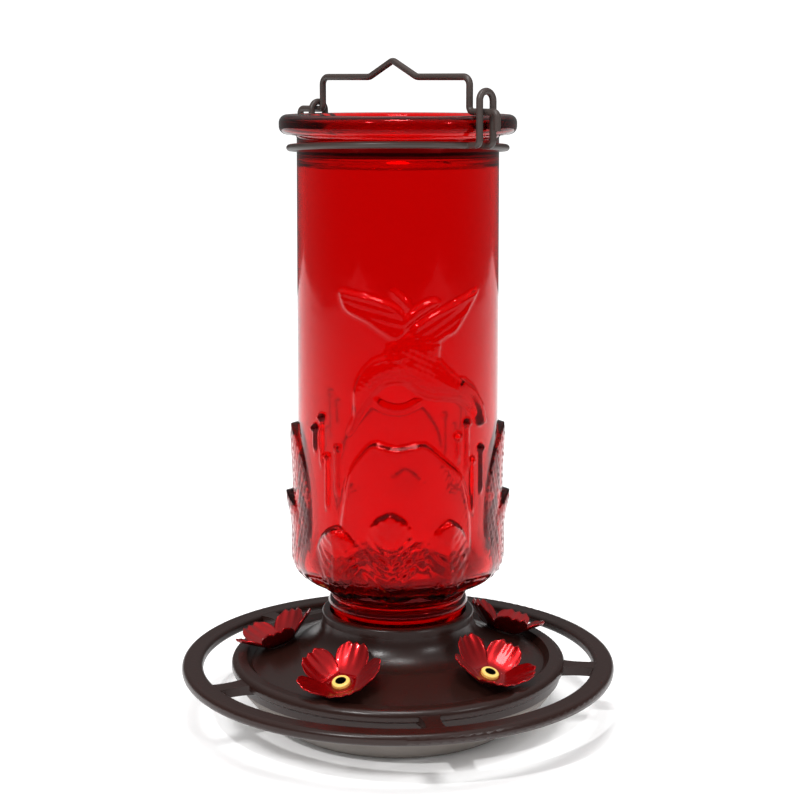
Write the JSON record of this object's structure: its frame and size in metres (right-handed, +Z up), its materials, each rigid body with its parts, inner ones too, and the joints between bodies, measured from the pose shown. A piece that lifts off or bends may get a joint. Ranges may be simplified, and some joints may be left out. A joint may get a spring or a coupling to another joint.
{
  "type": "hummingbird feeder",
  "caption": "Hanging nectar feeder: red glass bottle inverted in a domed base with perch ring, flower-shaped ports and a screw-off tray, on a wire bail.",
  "frame": {"origin": "middle of the tray's flat foot, on the surface it stands on", "axes": "+Z up along the bottle's axis, -Y towards the front of the picture, +X to its right"},
  "size_m": [0.1788, 0.1788, 0.2718],
  "materials": {
    "glass": "clear red, moulded relief",
    "wire": "dark bronze, satin",
    "cover": "dark bronze, satin",
    "tray": "grey brown, satin",
    "flower": "metallic red, glossy",
    "port": "yellow",
    "rubber": "black"
  },
  "bodies": {
    "tray": {"base_tray": "tray"},
    "tray_seal": {"tray_gasket": "rubber"},
    "cover": {"base_cover": "cover", "flower_1": "flower", "flower_2": "flower", "flower_3": "flower", "flower_4": "flower", "flower_5": "flower", "port_1": "port", "port_2": "port", "port_3": "port", "port_4": "port", "port_5": "port"},
    "neck_seal": {"bottle_gasket": "rubber"},
    "glass_bottle": {"bottle": "glass"},
    "collar": {"wire_collar": "wire"},
    "bail": {"hanger_bail": "wire"}
  },
  "joints": [
    {"name": "cover_rise", "type": "slide", "parent": "tray", "child": "tray_seal", "axis": [0, 0, 1], "range_m": [0, 0.0046]},
    {"name": "cover_turn", "type": "hinge", "parent": "tray_seal", "child": "cover", "pos_m": [0, 0, 0.0232], "axis": [0, 0, 1], "range_deg": [0, 360]},
    {"name": "bottle_rise", "type": "slide", "parent": "cover", "child": "neck_seal", "axis": [0, 0, 1], "range_m": [0, 0.0091]},
    {"name": "bottle_turn", "type": "hinge", "parent": "neck_seal", "child": "glass_bottle", "pos_m": [0, 0, 0.0359], "axis": [0, 0, 1], "range_deg": [0, 540]},
    {"name": "collar_turn", "type": "hinge", "parent": "glass_bottle", "child": "collar", "pos_m": [0, 0, 0.2362], "axis": [0, 0, 1], "continuous": true},
    {"name": "bail_swing", "type": "hinge", "parent": "collar", "child": "bail", "pos_m": [0, 0, 0.25105], "axis": [0.6756, -0.7373, 0], "range_deg": [-88, 88]}
  ],
  "couplings": [
    {"joint": "cover_rise", "follows": "cover_turn", "m_per_rad": 0.0007162},
    {"joint": "bottle_rise", "follows": "bottle_turn", "m_per_rad": 0.00095493}
  ]
}
